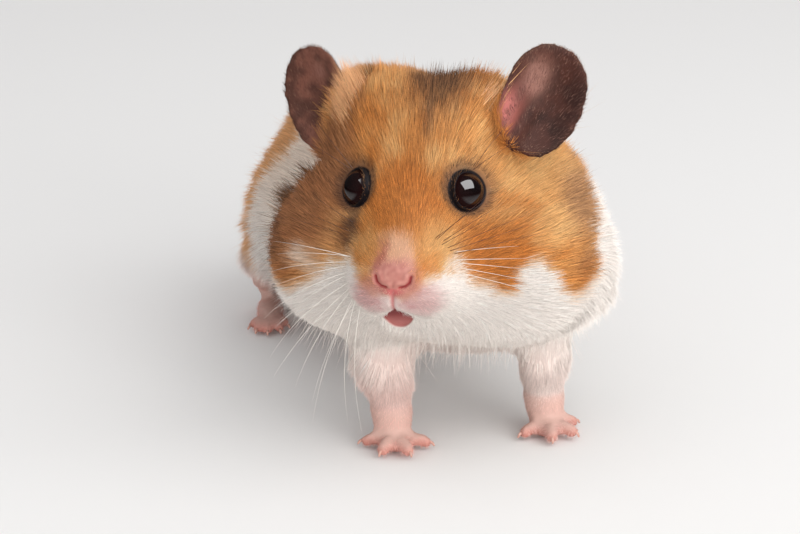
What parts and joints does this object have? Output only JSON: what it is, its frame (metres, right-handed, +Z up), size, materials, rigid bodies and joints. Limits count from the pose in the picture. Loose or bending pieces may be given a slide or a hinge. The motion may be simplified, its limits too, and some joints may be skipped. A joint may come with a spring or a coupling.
{
  "type": "syrian hamster",
  "caption": "Life-size still model of a golden and white Syrian hamster standing on all fours with its head turned to its right.",
  "frame": {"origin": "on the floor, under the middle of the whole animal", "axes": "+Z up, the body lies along Y with its front at -Y, +X is the animal's left side"},
  "size_m": [0.071, 0.139, 0.0804],
  "materials": {
    "golden_fur": "soft short fur, matt",
    "pale_fur": "soft short fur, matt",
    "ear_skin": "thin dark skin with a fine down, satin",
    "pink_skin": "bare skin, satin",
    "eye": "wet gloss",
    "claw": "smooth horn, satin"
  },
  "bodies": {
    "root": {"head": "golden_fur", "nose": "pink_skin", "neck": "pale_fur", "trunk": "golden_fur", "tail": "pink_skin", "ear_right": "ear_skin", "eye_right": "eye", "foreleg_right": "pale_fur", "hindleg_right": "golden_fur", "forepaw_right": "pink_skin", "hindpaw_right": "pink_skin", "foreclaw_right_1": "claw", "foreclaw_right_2": "claw", "foreclaw_right_3": "claw", "foreclaw_right_4": "claw", "hindclaw_right_1": "claw", "hindclaw_right_2": "claw", "hindclaw_right_3": "claw", "hindclaw_right_4": "claw", "hindclaw_right_5": "claw", "ear_left": "ear_skin", "eye_left": "eye", "foreleg_left": "pale_fur", "hindleg_left": "golden_fur", "forepaw_left": "pink_skin", "hindpaw_left": "pink_skin", "foreclaw_left_1": "claw", "foreclaw_left_2": "claw", "foreclaw_left_3": "claw", "foreclaw_left_4": "claw", "hindclaw_left_1": "claw", "hindclaw_left_2": "claw", "hindclaw_left_3": "claw", "hindclaw_left_4": "claw", "hindclaw_left_5": "claw"}
  },
  "joints": []
}
